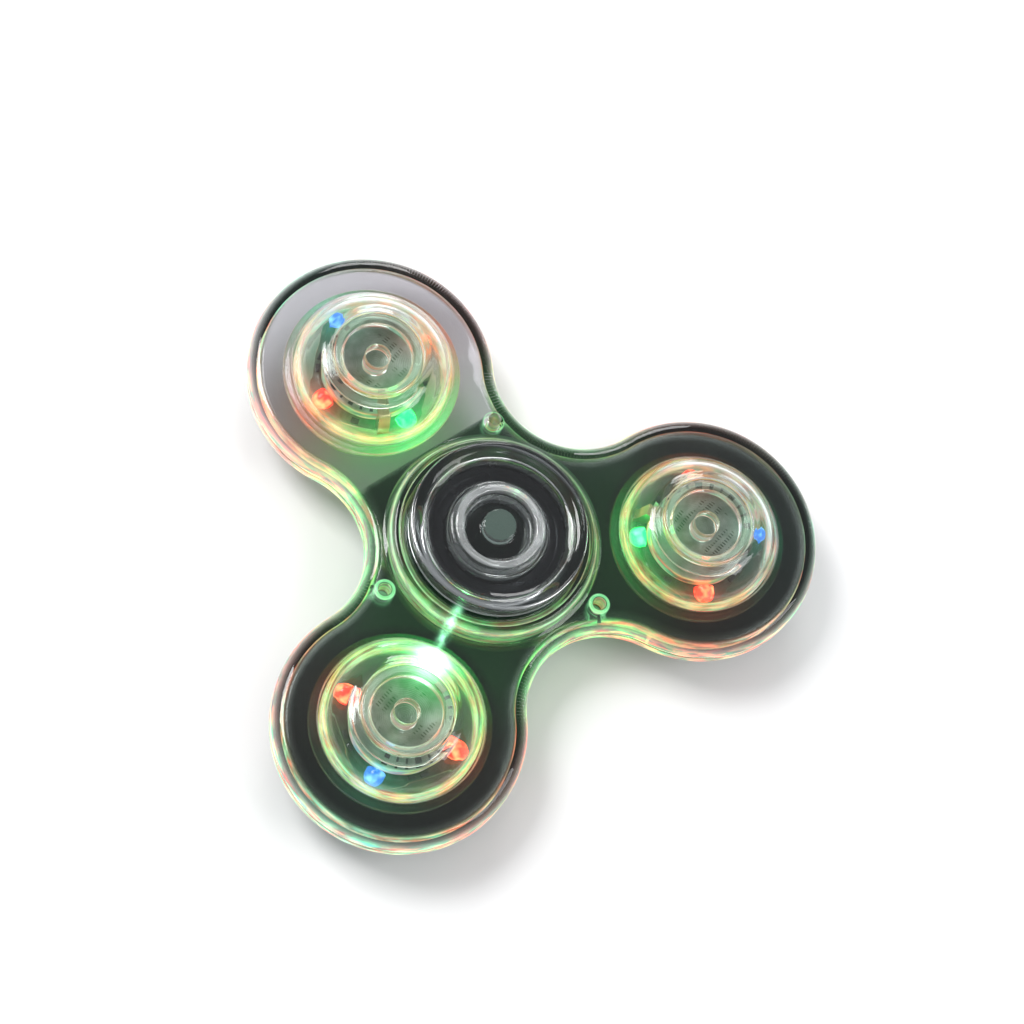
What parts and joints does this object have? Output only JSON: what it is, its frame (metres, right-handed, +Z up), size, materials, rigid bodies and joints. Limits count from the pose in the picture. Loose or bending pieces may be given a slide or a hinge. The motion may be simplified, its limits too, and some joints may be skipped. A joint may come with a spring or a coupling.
{
  "type": "light-up hand spinner",
  "caption": "Clear three-lobed hand spinner that turns on a ball bearing between finger caps, with a push-button light capsule in every lobe.",
  "frame": {"origin": "on the spin axis, at the face of the lower hub cap", "axes": "+Z up along the spin axis, +X from the axis to the middle of lobe a, +Y across the two other lobes"},
  "size_m": [0.07, 0.0758, 0.0146],
  "materials": {
    "clear_plastic": "clear polished polystyrene",
    "smoke_plastic": "clear plastic with a grey smoke tint, polished",
    "bearing_steel": "ground bearing steel",
    "shield_steel": "dark pressed steel shield",
    "cage_nylon": "natural nylon",
    "cell_nickel": "nickel-plated steel can, satin",
    "contact_spring": "plated spring strip",
    "board_laminate": "white circuit board",
    "black_epoxy": "black moulding compound",
    "lamp_green": "lit green lamp",
    "lamp_red": "lit red lamp",
    "lamp_blue": "lit blue lamp"
  },
  "bodies": {
    "hub": {"hub_cap_top": "smoke_plastic", "hub_cap_bottom": "smoke_plastic", "bearing_inner_ring": "bearing_steel"},
    "spinner": {"top_shell": "smoke_plastic", "bottom_shell": "smoke_plastic", "bearing_outer_ring": "bearing_steel", "bearing_shield_top": "shield_steel", "bearing_shield_bottom": "shield_steel", "lens_dome_a": "clear_plastic", "base_cover_a": "clear_plastic", "circuit_board_a": "board_laminate", "controller_chip_a": "black_epoxy", "snap_dome_a": "contact_spring", "contact_arm_a": "contact_spring", "led_blue_a": "lamp_blue", "led_green_a": "lamp_green", "led_red_left_a": "lamp_red", "led_red_right_a": "lamp_red", "lens_dome_b": "clear_plastic", "base_cover_b": "clear_plastic", "circuit_board_b": "board_laminate", "controller_chip_b": "black_epoxy", "snap_dome_b": "contact_spring", "contact_arm_b": "contact_spring", "led_blue_b": "lamp_blue", "led_green_b": "lamp_green", "led_red_left_b": "lamp_red", "led_red_right_b": "lamp_red", "lens_dome_c": "clear_plastic", "base_cover_c": "clear_plastic", "circuit_board_c": "board_laminate", "controller_chip_c": "black_epoxy", "snap_dome_c": "contact_spring", "contact_arm_c": "contact_spring", "led_blue_c": "lamp_blue", "led_green_c": "lamp_green", "led_red_left_c": "lamp_red", "led_red_right_c": "lamp_red"},
    "ball_cage": {"bearing_cage": "cage_nylon"},
    "button_a": {"push_button_a": "clear_plastic", "coin_cell_a": "cell_nickel"},
    "button_b": {"push_button_b": "clear_plastic", "coin_cell_b": "cell_nickel"},
    "button_c": {"push_button_c": "clear_plastic", "coin_cell_c": "cell_nickel"},
    "ball_1": {"bearing_ball_1": "bearing_steel"},
    "ball_2": {"bearing_ball_2": "bearing_steel"},
    "ball_3": {"bearing_ball_3": "bearing_steel"},
    "ball_4": {"bearing_ball_4": "bearing_steel"},
    "ball_5": {"bearing_ball_5": "bearing_steel"},
    "ball_6": {"bearing_ball_6": "bearing_steel"},
    "ball_7": {"bearing_ball_7": "bearing_steel"}
  },
  "joints": [
    {"name": "spin", "type": "hinge", "parent": "hub", "child": "spinner", "pos_m": [0, 0, 0.0073], "axis": [0, 0, 1], "continuous": true},
    {"name": "cage_orbit", "type": "hinge", "parent": "hub", "child": "ball_cage", "pos_m": [0, 0, 0.0073], "axis": [0, 0, 1], "continuous": true},
    {"name": "button_press_a", "type": "slide", "parent": "spinner", "child": "button_a", "axis": [0, 0, -1], "range_m": [0, 0.0003], "stiffness_N_per_m": 3000, "springref_m": -0.0003, "deforming": ["snap_dome_a"]},
    {"name": "button_press_b", "type": "slide", "parent": "spinner", "child": "button_b", "axis": [0, 0, -1], "range_m": [0, 0.0003], "stiffness_N_per_m": 3000, "springref_m": -0.0003, "deforming": ["snap_dome_b"]},
    {"name": "button_press_c", "type": "slide", "parent": "spinner", "child": "button_c", "axis": [0, 0, -1], "range_m": [0, 0.0003], "stiffness_N_per_m": 3000, "springref_m": -0.0003, "deforming": ["snap_dome_c"]},
    {"name": "ball_roll_1", "type": "hinge", "parent": "ball_cage", "child": "ball_1", "pos_m": [0.0075, 0, 0.0073], "axis": [0, 0, 1], "continuous": true},
    {"name": "ball_roll_2", "type": "hinge", "parent": "ball_cage", "child": "ball_2", "pos_m": [0.00468, 0.00586, 0.0073], "axis": [0, 0, 1], "continuous": true},
    {"name": "ball_roll_3", "type": "hinge", "parent": "ball_cage", "child": "ball_3", "pos_m": [-0.00167, 0.00731, 0.0073], "axis": [0, 0, 1], "continuous": true},
    {"name": "ball_roll_4", "type": "hinge", "parent": "ball_cage", "child": "ball_4", "pos_m": [-0.00676, 0.00325, 0.0073], "axis": [0, 0, 1], "continuous": true},
    {"name": "ball_roll_5", "type": "hinge", "parent": "ball_cage", "child": "ball_5", "pos_m": [-0.00676, -0.00325, 0.0073], "axis": [0, 0, 1], "continuous": true},
    {"name": "ball_roll_6", "type": "hinge", "parent": "ball_cage", "child": "ball_6", "pos_m": [-0.00167, -0.00731, 0.0073], "axis": [0, 0, 1], "continuous": true},
    {"name": "ball_roll_7", "type": "hinge", "parent": "ball_cage", "child": "ball_7", "pos_m": [0.00468, -0.00586, 0.0073], "axis": [0, 0, 1], "continuous": true}
  ],
  "couplings": [
    {"joint": "cage_orbit", "follows": "spin", "ratio": 0.6323},
    {"joint": "ball_roll_1", "follows": "spin", "ratio": 1.7569},
    {"joint": "ball_roll_2", "follows": "spin", "ratio": 1.7569},
    {"joint": "ball_roll_3", "follows": "spin", "ratio": 1.7569},
    {"joint": "ball_roll_4", "follows": "spin", "ratio": 1.7569},
    {"joint": "ball_roll_5", "follows": "spin", "ratio": 1.7569},
    {"joint": "ball_roll_6", "follows": "spin", "ratio": 1.7569},
    {"joint": "ball_roll_7", "follows": "spin", "ratio": 1.7569}
  ]
}
